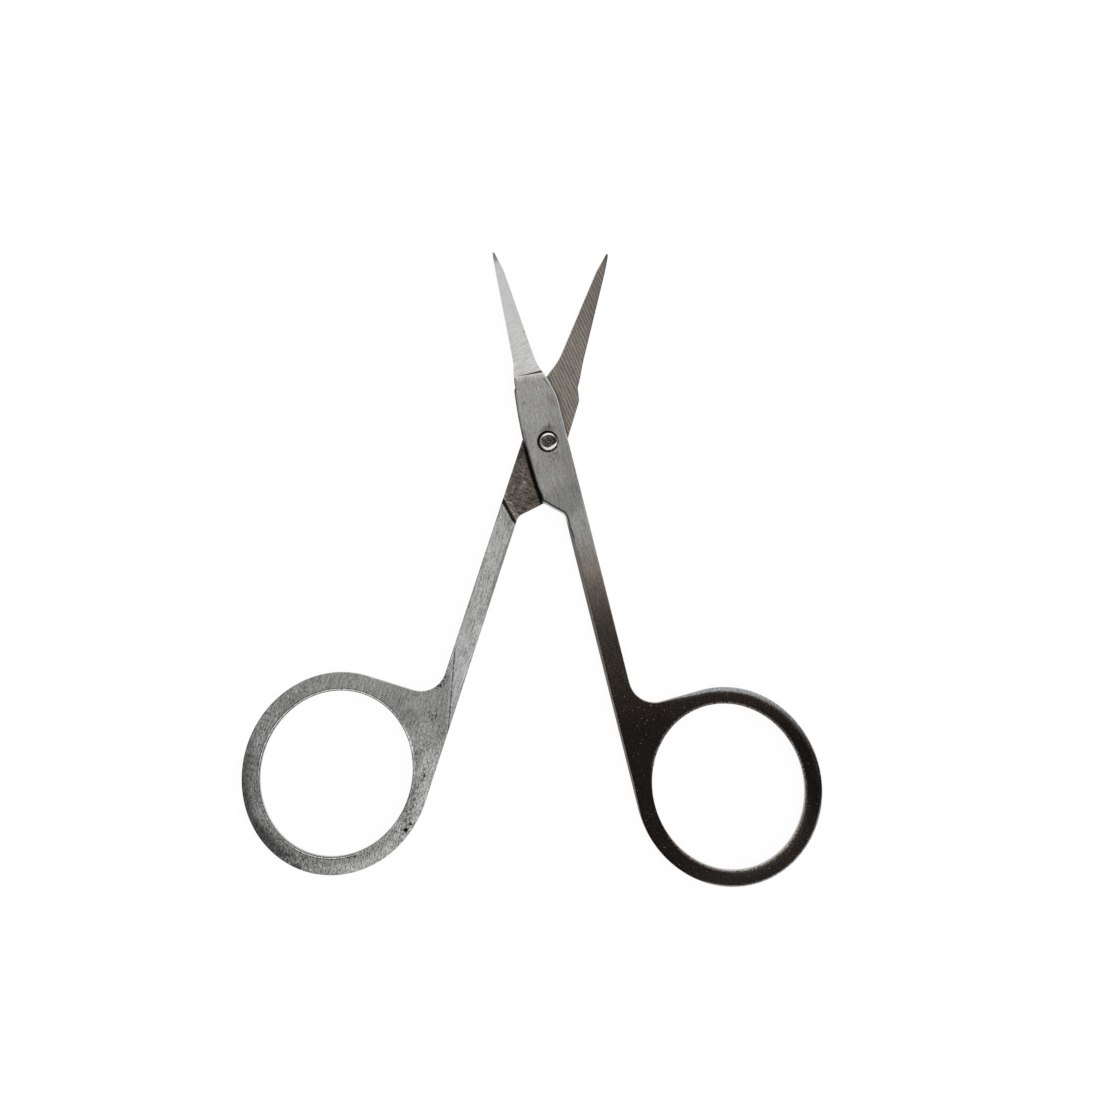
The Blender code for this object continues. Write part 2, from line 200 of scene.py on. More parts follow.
def lost_at_edge(depth, soft, steep, worn):
    """Height lost near the edge of a face: a steep filed side, a rounded edge and a worn band."""
    inside = np.clip(1 - np.maximum(depth - steep + soft * 0.1 * (steep > 0), 0) / soft, 0, 1)
    rubbed = np.clip(1 - depth / np.maximum(worn, 1e-6), 0, 1) ** WORN_CURVE * worn * WORN_SHARE
    return soft * (1 - np.sqrt(1 - inside**2)) + np.maximum(steep - depth, 0) * FILED_SLOPE + rubbed


WALL_DROP, WALL_SLOPE = 0.07, 5


def blade_ground(size, flat, level):
    """The outer face where the blade is ground: a wall at the shoulder, then an even bevel to the edge."""
    u, v = flat.real, flat.imag
    edge = JOINT_FACE + EDGE_THICK
    across = (STOCK / 2 - edge) / (size["cut_at_shoulder"] + size["spine_at_neck"])
    run = POINT - SHOULDER + RAKE * size["cut_at_shoulder"]
    narrowing = (size["cut_at_shoulder"] - size["cut_at_point"]) / run
    past = v - GROUND_LINE + RAKE * u
    bevel = edge + across * (size["cut_at_shoulder"] - u - narrowing * past)
    wall = STOCK / 2 - np.minimum(past, WALL_DROP) - np.maximum(past - WALL_DROP, 0) * WALL_SLOPE
    return np.where(past > 0, np.minimum(level, np.maximum(bevel, wall)), level)


def step_line(mate):
    """A point of the step that ends the halved joint, and the way along it and towards the tip."""
    along = -HEEL_RUN.conjugate()
    towards_tip = 1j * along if (1j * along).imag > 0 else -1j * along
    return mate["spine_at_heel"] - 1j * HEEL - towards_tip * STEP_CLEARANCE, along, towards_tip


# Rows of points along the shoulder's line, the step and the edges, as distances from each.
GROUND_ROWS = (-0.12, 0.0, 0.07, 0.11, 0.17, 0.27)
STEP_ROWS = (-0.42, -0.34, -0.2, 0.0, 0.08)
FACE_ROWS = (0.3, 0.5, 0.7, 1.0)
# Rows inside the rounded edge and the filed and worn bands, as shares of their widths.
ROUNDING_ROWS = (0.034, 0.134, 0.293, 0.5, 0.741, 1.0, 1.3)
BAND_ROWS = (0.33, 0.66)
# The grid and the rows along the wheel marks, and how near to an edge or another point is too near.
GRID_ACROSS, GRID_ALONG = 0.32, 0.277
MARK_WAY, MARK_GAP, MARK_ROW = 0.665 + 0.747j, 0.36, 0.12
TOO_NEAR, OFF_THE_EDGE, INSIDE_HOLE = 0.04, 0.012, 9.8


def spread_points(size, mate, outline, hole, bore, seat_rows):
    """Points all over the half: along its creases, edges and seat, on a grid, and on the grinding marks."""
    line = np.arange(-16, 16, MARK_ROW)
    foot, along, towards_tip = step_line(mate)
    rows = [line + 1j * (GROUND_LINE - RAKE * line + gap) for gap in GROUND_ROWS]
    rows += [foot + towards_tip * gap + along * line for gap in STEP_ROWS]
    for loop, inward in ((outline, 1j), (hole, -1j)):
        square = inward * unit(np.roll(loop, -1) - np.roll(loop, 1))
        soft, steep, worn = edge_widths(size, loop, loop is hole, True)
        rows += [loop + square * (steep + share * soft) for share in ROUNDING_ROWS]
        rows += [loop + square * (steep + worn) * share for share in BAND_ROWS]
        rows += [loop + square * deep for deep in FACE_ROWS]
    rows += [radius * np.exp(1j * np.linspace(0, math.tau, 72, endpoint=False)) for radius in seat_rows]
    columns = np.arange(outline.real.min(), outline.real.max(), GRID_ACROSS)
    rows += [columns + GRID_ACROSS / 2 * (i % 2) + 1j * v
             for i, v in enumerate(np.arange(outline.imag.min(), outline.imag.max(), GRID_ALONG))]
    marked = np.concatenate([unit(MARK_WAY) * (np.arange(-12, 29, MARK_GAP) - 1j * across)
                             for across in line])
    rows.append(marked[((marked - foot) * towards_tip.conjugate()).real > MARK_ROW])
    spread = np.concatenate(rows)
    from_hole = abs(spread - size["ring_offset"] + 1j * size["ring_drop"])
    spread = spread[(abs(spread) > BORE + 0.03) & (from_hole > INSIDE_HOLE)]
    spread = spread[depth_in(spread, outline) > OFF_THE_EDGE]
    spread = spread[depth_in(spread, hole) < -OFF_THE_EDGE]
    kept = {}
    for point in spread:
        kept.setdefault((round(point.real / TOO_NEAR), round(point.imag / TOO_NEAR)), point)
    return np.concatenate([outline, hole, bore, list(kept.values())])


OUTLINE_GAP, HOLE_POINTS, BORE_POINTS = 0.24, 300, 64
STEP_RUN, THINNEST = 0.34, 0.1
# The line past which the rear half is ground a little thinner, and how soon that is reached.
RIDGE_START, RIDGE_ACROSS, RIDGE_FADE = 3.8 - 31.58j, (0.976, 0.2185), 2.5
ZONE_BLADE, ZONE_INNER, ZONE_EDGE = 1, 2, 3


def two_sided(name, size, mate, angle, turned_over, seat, seat_rows):
    """A half as one closed mesh: both faces on one set of points, with a wall between them."""
    outline = divided(half_outline(size), OUTLINE_GAP)
    hole = oval(size, 0, 0, np.linspace(0, math.tau, HOLE_POINTS, endpoint=False))
    bore = BORE * np.exp(1j * np.linspace(0, math.tau, BORE_POINTS, endpoint=False))
    points = spread_points(size, mate, outline, hole, bore, seat_rows)
    edges, first = [], 0
    for loop in (outline, hole, bore):
        edges += [(first + i, first + (i + 1) % len(loop)) for i in range(len(loop))]
        first += len(loop)
    verts, _, faces, _, _, _ = geometry.delaunay_2d_cdt(
        [Vector((p.real, p.imag)) for p in points], edges, [], 1, 1e-5)
    flat = np.array([complex(p.x, p.y) for p in verts])
    corners = np.array([list(face) for face in faces])
    middle = flat[corners].mean(axis=1)
    corners = corners[(depth_in(middle, hole) < 0) & (abs(middle) > BORE * 0.995)]
    a, b, c = flat[corners].T
    wrong = ((b - a).conjugate() * (c - a)).imag < 0
    corners[wrong] = corners[wrong][:, ::-1]
    to_outline, to_hole = depth_in(flat, outline), -depth_in(flat, hole)
    depth = np.maximum(np.minimum(to_outline, to_hole), 0)
    at_hole = to_hole < to_outline
    soft, steep, worn = edge_widths(size, flat, at_hole, True)
    u, v = flat.real, flat.imag
    past_ridge = (u - RIDGE_START.real) * RIDGE_ACROSS[0] - (v - RIDGE_START.imag) * RIDGE_ACROSS[1]
    thinned = size["ridge"] * (1 - np.exp(-np.maximum(past_ridge, 0) / RIDGE_FADE))
    outer = blade_ground(size, flat, STOCK / 2 - lost_at_edge(depth, soft, steep, worn))
    outer = np.minimum(outer, STOCK / 2 - seat(abs(flat)))
    foot, _, towards_tip = step_line(mate)
    step = ((flat - foot) * towards_tip.conjugate()).real
    inner = -STOCK / 2 + lost_at_edge(depth, *edge_widths(size, flat, at_hole, False)) + thinned
    climb = np.maximum(step + STEP_RUN, 0) * (STOCK / 2 + JOINT_FACE) / STEP_RUN
    inner = np.minimum(inner + climb, JOINT_FACE)
    inner = np.where(step > 0, JOINT_FACE, inner)
    outer = np.maximum(outer, inner + THINNEST)
    count = len(flat)
    sides = {(p, q) for tri in corners.tolist() for p, q in zip(tri, tri[1:] + tri[:1])}
    walls = [(q, p, p + count, q + count) for p, q in sides if (q, p) not in sides]
    drawn = np.concatenate([np.c_[u, v, outer], np.c_[u, v, inner]])
    place = Matrix.Translation((0, 0, STOCK / 2)) @ Matrix.Rotation(math.radians(angle), 4, "Z")
    if turned_over:
        place = place @ Matrix.Rotation(math.pi, 4, "Y")
    turn = np.array(place)
    placed = (drawn @ turn[:3, :3].T + turn[:3, 3]) * MM
    mesh = bpy.data.meshes.new(name)
    mesh.from_pydata(placed.tolist(), [], corners.tolist() + (corners[:, ::-1] + count).tolist() + walls)
    past_shoulder = v - GROUND_LINE + RAKE * u
    zones = np.concatenate([(past_shoulder[corners].mean(axis=1) > 0) * ZONE_BLADE,
                            (step[corners].mean(axis=1) > -0.02) * ZONE_INNER,
                            np.full(len(walls), ZONE_EDGE)])
    on_mate = -flat.conjugate() * np.exp(-1j * math.radians(FRONT_OPEN - REAR_OPEN))
    beside = -depth_in(on_mate, divided(half_outline(mate), OUTLINE_GAP))
    cut = np.concatenate([np.zeros(count), ease(0.0, 0.3, step) * ease(0.0, 0.15, depth)])
    for label, kind, domain, key, values in (
            ("drawn", "FLOAT_VECTOR", "POINT", "vector", drawn),
            ("edges", "FLOAT_VECTOR", "POINT", "vector",
             np.tile(np.c_[to_outline - steep, to_hole, step], (2, 1))),
            # Distance beside the other half, whether on the inner side, and distance past the ridge; the
            # materials use them, among other things, for painted shade.
            ("mate_side_ridge", "FLOAT_VECTOR", "POINT", "vector",
             np.tile(np.c_[beside, on_inner_side(size, flat), past_ridge], (2, 1))),
            ("zone", "INT", "FACE", "value", zones), ("cut", "FLOAT", "POINT", "value", cut)):
        values = values.astype(np.int32 if kind == "INT" else np.float32)
        mesh.attributes.new(label, kind, domain).data.foreach_set(key, values.ravel())
    piece = bpy.data.objects.new(name, mesh)
    bpy.context.scene.collection.objects.link(piece)
    return piece


class Reading:
    """A value read off the steel; working with it adds the nodes for it."""

    def __init__(self, bench, socket):
        self.bench, self.socket = bench, socket

    def maths(self, operation, *others):
        return self.bench.node("ShaderNodeMath", {"operation": operation}, (self, *others))

    def __add__(self, other):
        return self.maths("ADD", other)

    def __sub__(self, other):
        return self.maths("SUBTRACT", other)

    def __mul__(self, other):
        return self.maths("MULTIPLY", other)

    def __radd__(self, other):
        return self.maths("ADD", other)

    def __rmul__(self, other):
        return self.maths("MULTIPLY", other)

    def __rsub__(self, other):
        return self.bench.node("ShaderNodeMath", {"operation": "SUBTRACT"}, (other, self))

    def rise(self, low, high):
        """0 below low, 1 above high, and smooth between."""
        return self.bench.node("ShaderNodeMapRange", {"interpolation_type": "SMOOTHSTEP"},
                               [self, low, high, 0.0, 1.0])

    def fall(self, low, high):
        """1 below low, 0 above high, and smooth between."""
        return self.bench.node("ShaderNodeMapRange", {"interpolation_type": "SMOOTHSTEP"},
                               [self, low, high, 1.0, 0.0])

    def band(self, low, high, soft):
        """1 between low and high, with soft borders."""
        return self.rise(low - soft, low + soft) * self.fall(high - soft, high + soft)

    def parts(self):
        """The three numbers of a vector."""
        split = self.bench.node("ShaderNodeSeparateXYZ", None, [self])
        return [Reading(self.bench, socket) for socket in split.socket.node.outputs]


class Bench:
    """A node tree to work in."""

    def __init__(self, tree):
        self.tree = tree

    def node(self, kind, settings=None, sockets=(), out=0):
        """Adds a node with its settings and what goes into it, and reads one output."""
        node = self.tree.nodes.new(kind)
        for key, value in (settings or {}).items():
            setattr(node, key, value)
        for key, value in sockets.items() if isinstance(sockets, dict) else enumerate(sockets):
            self.feed(node.inputs[key], value)
        return Reading(self, node.outputs[out])

    def feed(self, socket, value):
        """Links a reading into a socket, or sets a plain value there."""
        if isinstance(value, Reading):
            self.tree.links.new(value.socket, socket)
        else:
            socket.default_value = value

    def stored(self, label):
        """The three numbers that the mesh keeps under a name."""
        return self.node("ShaderNodeAttribute", {"attribute_name": label}, out="Vector").parts()

    def vector(self, x, y, z=0.0):
        return self.node("ShaderNodeCombineXYZ", None, [x, y, z])

    def noise(self, x, y, z=0.0, detail=2.0, roughness=0.5):
        return self.node("ShaderNodeTexNoise", None, {
            "Vector": self.vector(x, y, z), "Scale": 1.0, "Detail": detail, "Roughness": roughness})

    def scaled(self, vector, by):
        return self.node("ShaderNodeVectorMath", {"operation": "SCALE"}, {0: vector, "Scale": by})

    def summed(self, first, second):
        return self.node("ShaderNodeVectorMath", {"operation": "ADD"}, [first, second])

    def own_place(self):
        """Where a point of the piece lies, in millimetres."""
        return [part * (1 / MM) for part in self.node("ShaderNodeTexCoord", None, out="Object").parts()]

    def mix(self, share, first, second):
        node = self.node("ShaderNodeMix", {"data_type": "RGBA"}, out=2).socket.node
        for key, value in ((0, share), (6, first), (7, second)):
            self.feed(node.inputs[key], value)
        return Reading(self, node.outputs[2])


def steel(name):
    """A new metal material, and a bench to work on it."""
    material = bpy.data.materials.new(name)
    material.use_nodes = True
    bench = Bench(material.node_tree)
    bench.shader = material.node_tree.nodes["Principled BSDF"]
    bench.shader.inputs["Metallic"].default_value = 1.0
    return material, bench


def finish(bench, tone, tint, roughness, height, scuffed=0.0):
    """Lays a tinted tone, gloss, dull scuffs and fine relief, its height in millimetres, on the steel."""
    bench.feed(bench.shader.inputs["Base Color"], bench.mix(tone, (0.0, 0.0, 0.0, 1.0), tint))
    bench.feed(bench.shader.inputs["Metallic"], 1 - scuffed)
    bench.feed(bench.shader.inputs["Roughness"], roughness)
    bump = bench.node("ShaderNodeBump", None, {"Strength": 1.0, "Distance": MM, "Height": height})
    bench.feed(bench.shader.inputs["Normal"], bump)


def grooves(bench, u, v):
    """Coarse wheel marks that run slanting across the inner faces, about 0.4 mm apart."""
    across = u * MARK_WAY.imag - v * MARK_WAY.real
    along = u * MARK_WAY.real + v * MARK_WAY.imag
    drift = bench.noise(across * 0.9, along * 0.15, 0.0, 1.0)
    waver = bench.noise(across * 2.2, along * 0.5, 6.0, 2.0, 0.6)
    stripe = ((across * 14.6 + drift * 5.0 + waver * 4.2).maths("SINE") * 0.5 + 0.5).maths("POWER", 1.6)
    fine = bench.noise(across * 6.5, along * 0.5, 2.0, 3.0, 0.65)
    return stripe * 0.34 + fine * 0.60 + 0.05


def brushed(bench, u, v, streaks, grain):
    """Lengthwise brush marks, short strokes and slow clouding, as a tone about 1, and the strokes alone."""
    streak = bench.noise(u * 5.0, v * 0.45, 0.0, 3.0, 0.6)
    stroke = bench.noise(u * 6.6, v * 2.2, 5.0, 2.0, 0.65)
    grit = bench.noise(u * 8.0, v * 8.0, 11.0, 1.0, 0.5)
    cloud = bench.noise(u * 0.5, v * 0.25, 9.0, 2.0, 0.5)
    tone = (streak - 0.5) * streaks + (stroke - 0.5) * grain + (grit - 0.5) * grain * 0.5
    return tone + (cloud - 0.5) * 0.35 + 1.0, stroke


def darkened_in_ovals(bench, tone, u, v, spots):
    """Darkens a tone in soft ovals: place, half widths, strength, and whether pits break up the darkening.
    """
    pits = bench.noise(u * 3.2, v * 2.6, 14.0, 3.0, 0.7)
    for at_u, at_v, wide, tall, strength, pitted in spots:
        du, dv = (u - at_u) * (1 / wide), (v - at_v) * (1 / tall)
        mask = (du * du + dv * dv).fall(0.1, 1.0) * strength
        tone = tone * (1 - (mask * pits.fall(0.40, 0.56) if pitted else mask))
    return tone


front_satin, bench = steel("front_satin_steel")
u, v, _ = bench.stored("drawn")
edge, rim, _ = bench.stored("edges")
_, inner, _ = bench.stored("mate_side_ridge")
tone, stroke = brushed(bench, u, v, 1.2, 1.2)
# Darker soft ovals on the plate, among them two close above and below the rivet's head.
plate_dark_ovals = [
    (-2.06, 8.16, 0.6, 0.4, 0.5, True), (0.45, 1.60, 1.30, 0.85, 0.5, False),
    (0.75, -1.95, 0.7, 0.4, 0.6, True), (0.2, -8.6, 3.4, 2.8, 0.18, False),
    (0.15, -2.3, 1.4, 1.0, 0.35, True), (-2.9, 1.6, 0.4, 1.2, 0.3, False),
    (-1.74, 6.1, 0.13, 0.45, 0.4, False), (-2.6, 8.6, 0.7, 0.5, 0.5, True),
]
tone = darkened_in_ovals(bench, tone, u, v, plate_dark_ovals)
scratch = (u - v * 0.229 - 0.296).band(-0.09, 0.09, 0.03) * v.band(1.7, 2.45, 0.08)
ragged = bench.noise(u * 3.0, v * 3.0, 21.0, 2.0, 0.6)
plate, shank = v.rise(-8.4, -7.8), v.fall(-30.0, -10.0)
# Painted shade: silhouette is a dark ragged band inside the edge on the spine's side and the shank's inner
# side, strongest above the rivet, and heel_line is a dark line along the heel's edge.
silhouette = (edge + ragged * 0.3).fall(0.30, 0.50) * inner * (v.band(1.0, 8.2, 0.4) * 0.28 + 0.30)
corner_line = edge.band(0.34, 0.50, 0.04) * (1 - inner) * v.band(7.3, 8.7, 0.2)
heel_line = edge.band(-0.02, 0.24, 0.05) * inner * v.band(-14.0, -6.4, 0.5)
tone = tone * (1 - scratch * 0.7) * (1 - silhouette) * (1 - corner_line * 0.6) * (1 - heel_line * 0.65)
# Painted light and shade: the plate is darker on its cutting side and from the rivet down, lit_edge is a
# painted highlight along the plate's cutting side, there is a painted highlight just below the shoulder, and
# the upper shank is lighter.
tone = tone * (1 - u.rise(0.2, 1.9) * v.band(-8.5, 6.5, 1.5) * 0.17)
lit_edge = edge.fall(0.10, 0.18) * (1 - inner) * v.band(-1.0, 9.4, 0.5)
past = v + u * RAKE - GROUND_LINE
tone = tone * (1 + lit_edge * 0.8 + past.rise(-0.9, -0.15) * 0.42 + past.rise(-0.24, -0.12) * 0.45)
tone = tone * (0.345 - v.fall(-7.0, 6.0) * 0.055 - shank * 0.02 + v.band(-20.0, -11.0, 1.2) * 0.045)
# Painted shade on the steep filed side: near black along the plate and dark along the shank, with a painted
# highlight where it turns round the heel.
side = edge.fall(-0.04, 0.01) * inner
along_shank = (v.rise(-12.5, -11.0) * 0.34 - v.fall(-26.0, -14.0) * 0.045
               + v.fall(-34.0, -27.0) * 0.06 + 0.075)
side_tone = plate * 0.012 + (1 - plate) * (along_shank + (ragged - 0.5) * 0.06)
# Painted shadow in the counterbore round the rivet's head, left out on its right side.
towards_right = u * 0.9625 - v * 0.2714
gap = (u * u + v * v).fall(2.10, 2.26) * towards_right.fall(1.15, 1.38)
tone = (tone * (1 - side) + side_tone * side) * (1 - gap * 0.96)
spark = bench.noise(u * 4.5, v * 4.5, 25.0, 1.0, 0.5).rise(0.70, 0.76) * v.fall(-34.0, -28.0)
du, dv = u - FRONT["ring_offset"], v + FRONT["ring_drop"]
dusty = bench.noise(u * 5.0, v * 5.0, 33.0, 2.0, 0.7)
fingered = (du * 0.50 - dv * 0.86).rise(7.5, 11.0) * rim.fall(-0.1, 1.1)
# Painted highlights, tinted cool and also scuffed dull: bright_rim is a broken line on the finger hole's
# rounded edge, outer_line runs along the ring's outer edge near its foot, and rubbed is the worn outer edge
# at the ring's upper right.
bright_rim = rim.fall(0.20, 0.38) * ragged.rise(0.34, 0.54) * du.rise(-10.6, -8.8)
bright_rim = bright_rim * v.fall(-36.0, -34.0) * 0.42
outer_line = edge.fall(0.16, 0.30) * v.fall(-61.0, -57.0) * du.rise(-8.0, -5.0)
rubbed = (du * 0.70 + dv * 0.71).rise(3.5, 10.0) * edge.fall(0.3, 0.9) * v.fall(-36.0, -33.0)
pink = bench.noise(u * 0.9, v * 0.7, 31.0, 2.0).rise(0.48, 0.62) * plate
tint = bench.mix(pink, (0.985, 0.985, 0.94, 1.0), (1.0, 0.945, 0.905, 1.0))
tone = tone * (1 + (dusty - 0.5) * shank * (v.band(-38.0, -30.0, 2.0) * 2.4 + 2.4))
tone = tone * (1 + spark * 1.2 + bright_rim * 1.6 + outer_line + rubbed * 0.1)
tint = bench.mix(v.fall(-20.0, -13.0), tint, (1.0, 0.86, 0.745, 1.0))
finish(bench, tone, bench.mix(rubbed + bright_rim + outer_line, tint, (0.96, 0.97, 1.0, 1.0)),
       stroke * 0.12 + 0.24 - shank * 0.10 + spark * 0.4, stroke * 0.007 * (1 - shank * 0.6),
       spark * 0.3 + bright_rim * 0.8 + outer_line * 0.5 + fingered * dusty.rise(0.3, 0.8) * 0.42
       + rubbed * 0.06)

cross_ground, bench = steel("cross_ground_blade_steel")
u, v, _ = bench.stored("drawn")
lines = bench.noise(u * 0.5 + v * 0.1, v * 5.6 - u * 1.1, 0.0, 3.0, 0.6)
patch = bench.noise(u * 1.2, v * 0.8, 7.0, 2.0)
grit = bench.noise(u * 6.0, v * 6.0, 3.0, 2.0, 0.6)
past = v + u * RAKE - GROUND_LINE
# Painted shade on the shoulder's wall, fading out towards the spine.
wall = past.rise(0.02, 0.06) * (past - u.rise(-0.8, 1.9) * 0.18).fall(0.14, 0.23) * u.rise(-1.8, 0.0)
tip = 1 - v.rise(25.6, 27.0) * 0.6
tone = ((lines - 0.5) * (v.fall(11.0, 20.0) * 0.9 + 0.35) + (patch - 0.5) * 0.2 + (grit - 0.5) * 0.5
        + 1.0) * 0.565 * (1 - wall * 0.95) * tip
tone = darkened_in_ovals(bench, tone, u, v, [(0.95, 15.75, 0.2, 0.2, 0.4, False)])
finish(bench, tone, (1.0, 0.995, 0.975, 1.0), patch * 0.1 + 0.27, lines * 0.010 + grit * 0.003)

coarse_ground, bench = steel("coarse_ground_inner_steel")
u, v, _ = bench.stored("drawn")
edge, _, step = bench.stored("edges")
beside, inner, _ = bench.stored("mate_side_ridge")
mark = grooves(bench, u, v)
rub = bench.noise(u * 1.3, v * 0.9, 5.0, 3.0, 0.6)
grit = bench.noise(u * 7.0, v * 7.0, 3.0, 2.0, 0.7)
from_rivet = (u * u + v * v).maths("SQRT")
arcs = bench.noise(from_rivet * 3.5, v.maths("ARCTAN2", u) * 4.0, 8.0, 3.0, 0.6)
below = v.fall(-2.5, 1.0)
swirl = bench.noise(u * 1.4 + v * 2.9, v * 0.9 - u * 1.1, 17.0, 3.0, 0.7)
tone = ((mark - 0.5) * (1.7 - below * 1.2) + (arcs - 0.5) * below * 2.4 + (swirl - 0.5) * below * 3.0
        + (grit - 0.5) * 1.9 + (rub - 0.5) * (0.7 + below) + 1.0)
rubs_and_dirt = [
    (1.45, -6.85, 0.5, 0.9, -0.9, True), (1.97, -5.4, 0.14, 0.9, -0.7, False),
    (2.7, -7.9, 0.16, 1.0, -0.7, False), (3.3, -6.4, 0.14, 1.1, -0.6, False),
    (4.1, -5.6, 0.6, 1.6, 0.45, False), (3.2, -2.7, 0.6, 1.1, 0.45, False),
    (3.2, -9.2, 0.6, 0.5, 0.5, True),
]
tone = darkened_in_ovals(bench, tone, u, v, rubs_and_dirt)
# Pale bands along the step, and painted shade at the foot of the step's wall.
pale = (step.band(0.25, 0.40, 0.06) * 2.0 + step.band(0.42, 0.64, 0.06) * 0.7
        + step.band(0.68, 0.82, 0.06) * 1.5)
stripes = pale * below - step.fall(0.06, 0.16) * 0.8
# Painted shade on the inner face beside the other half's edge, stronger below the rivet.
shade_beside_mate = beside.fall(0.05, 0.42) * (0.35 + below * 0.6)
tone = tone * (1 + stripes) * (1 - shade_beside_mate) * (0.24 - below * 0.112) * (1 - v.rise(25.3, 27.0) * 0.4)
tone = tone * (1 - v.band(17.0, 25.0, 2.0) * 0.16)
tone = tone * (1 + edge.fall(0.05, 0.22) * v.rise(7.0, 9.0) * (0.3 - inner * 0.6))
tint = bench.mix(rub.rise(0.4, 0.6), (1.0, 0.93, 0.81, 1.0), (1.0, 0.87, 0.765, 1.0))
tint = bench.mix(below * rub.rise(0.2, 0.6) * step.rise(0.8, 1.2), tint, (1.0, 0.835, 0.70, 1.0))
finish(bench, tone, tint, rub * 0.15 + 0.38, mark * 0.02 + grit * 0.006)

ground_edge, bench = steel("ground_edge_steel")
u, v, w = bench.stored("drawn")
lines = bench.noise(u * 0.6, v * 0.6, w * 9.0, 3.0, 0.6)
patch = bench.noise(u * 0.9, v * 0.9, w * 0.8, 2.0)
finish(bench, ((lines - 0.5) * 0.8 + (patch - 0.5) * 0.35 + 1.0) * 0.34, (1.0, 0.985, 0.955, 1.0),
       patch * 0.15 + 0.28, lines * 0.006)


def node_group(name, inputs, output):
    """A new group that shapes a piece, a bench to work on it, and readings of its inputs."""
    tree = bpy.data.node_groups.new(name, "GeometryNodeTree")
    for label, kind in inputs.items():
        tree.interface.new_socket(label, in_out="INPUT", socket_type="NodeSocket" + kind)
    tree.interface.new_socket(output, in_out="OUTPUT", socket_type="NodeSocketGeometry")
    bench = Bench(tree)
    given = [Reading(bench, socket) for socket in tree.nodes.new("NodeGroupInput").outputs]
    return bench, given[:len(inputs)]


def ground_marks():
    """Cuts the wheel marks into the inner faces, softens the flats, and gives each zone its steel."""
    bench, (half, mark_depth, wave_depth, towards, *steels) = node_group("ground_marks", {
        "Half": "Geometry", "Mark depth": "Float", "Wave depth": "Float", "Towards": "Vector",
        "Satin": "Material", "Blade": "Material", "Inner": "Material", "Edge": "Material"}, "Half")
    place = bench.node("GeometryNodeInputNamedAttribute", {"data_type": "FLOAT_VECTOR"}, {"Name": "drawn"})
    u, v, w = place.parts()
    cut = bench.node("GeometryNodeInputNamedAttribute", {"data_type": "FLOAT"}, {"Name": "cut"})
    wave = bench.noise(u * 0.35, v * 0.22, w * 0.2, 1.0)
    normal = bench.node("GeometryNodeInputNormal")
    carve = bench.scaled(towards, (1 - grooves(bench, u, v)) * cut * mark_depth * MM)
    soften = bench.scaled(normal, wave * wave_depth * -MM * (1 - cut))
    moved = bench.node("GeometryNodeSetPosition", None,
                       {"Geometry": half, "Offset": bench.summed(carve, soften)})
    shown = bench.node("GeometryNodeRealizeInstances", None, {"Geometry": moved})
    zone = bench.node("GeometryNodeInputNamedAttribute", {"data_type": "INT"}, {"Name": "zone"})
    for number, material in enumerate(steels):
        chosen = bench.node("FunctionNodeCompare", {"data_type": "INT", "operation": "EQUAL"},
                            {2: zone, 3: number})
        shown = bench.node("GeometryNodeSetMaterial", None,
                           {"Geometry": shown, "Selection": chosen, "Material": material})
    bench.feed(bench.tree.nodes.new("NodeGroupOutput").inputs[0], shown)
    return bench.tree


def made_plain(piece, tree, values, crease):
    """Runs a node tree on a piece and keeps the result as its plain mesh, crisp where two steels meet."""
    modifier = piece.modifiers.new(tree.name, "NODES")
    modifier.node_group = tree
    for item in tree.interface.items_tree:
        if item.in_out == "INPUT" and item.name in values:
            modifier[item.identifier] = values[item.name]
    bpy.context.view_layer.update()
    evaluated = piece.evaluated_get(bpy.context.evaluated_depsgraph_get())
    mesh = bpy.data.meshes.new_from_object(evaluated)
    piece.modifiers.clear()
    piece.data = mesh
    mesh.shade_smooth()
    mesh.set_sharp_from_angle(angle=math.radians(crease))
    steels = {}
    for face in mesh.polygons:
        for key in face.edge_keys:
            steels.setdefault(key, set()).add(face.material_index)
    for border in mesh.edges:
        if len(steels[border.key]) > 1:
            border.use_edge_sharp = True
    return piece


HEAD_SEAT, HEAD_SEAT_DEPTH, BROKEN_EDGE, BROKEN_EDGE_SLOPE = 1.45, 0.35, 1.52, 1.2


def head_seat(radius):
    """Depth of the counterbore that the rivet's head sits in, with its broken edge."""
    broken = np.clip(BROKEN_EDGE - radius, 0, BROKEN_EDGE - HEAD_SEAT) * BROKEN_EDGE_SLOPE
    return np.where(radius < HEAD_SEAT, HEAD_SEAT_DEPTH, broken)


REAR_OPEN = -17.25
REAR = dict(
    spine_at_point=0.64, spine_at_root=1.40, spine_at_neck=1.76, corner=6.8, spine_at_corner=2.52,
    spine_at_heel=2.60, plate_bulge=0.0, cut_at_point=0.60, cut_at_root=1.80, cut_at_shoulder=2.44,
    plate_ring_side=3.36, shank_inner=0.85, shank_outer=4.18,
    ring_offset=14.50, ring_drop=53.18, wall_beside=2.52, wall_at_ends=2.58,
    filed_side=0.2, worn_ring=0.0, worn_ring_way=1 + 0j, ridge=0.10,
)
MARK_DEPTH, WAVE_DEPTH = 0.02, 0.015
CREASE = 38
marks = ground_marks()
front = two_sided("front_half_ground", FRONT, REAR, FRONT_OPEN, False, head_seat,
                  (1.05, 1.2, 1.32, 1.40, 1.445, 1.455, 1.49, 1.525, 1.6, 1.8))
made_plain(front, marks, {"Mark depth": MARK_DEPTH, "Wave depth": WAVE_DEPTH, "Towards": (0.0, 0.0, 1.0),
                          "Satin": front_satin, "Blade": cross_ground, "Inner": coarse_ground,
                          "Edge": ground_edge}, CREASE)
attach(front, "front")
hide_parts("front_half")

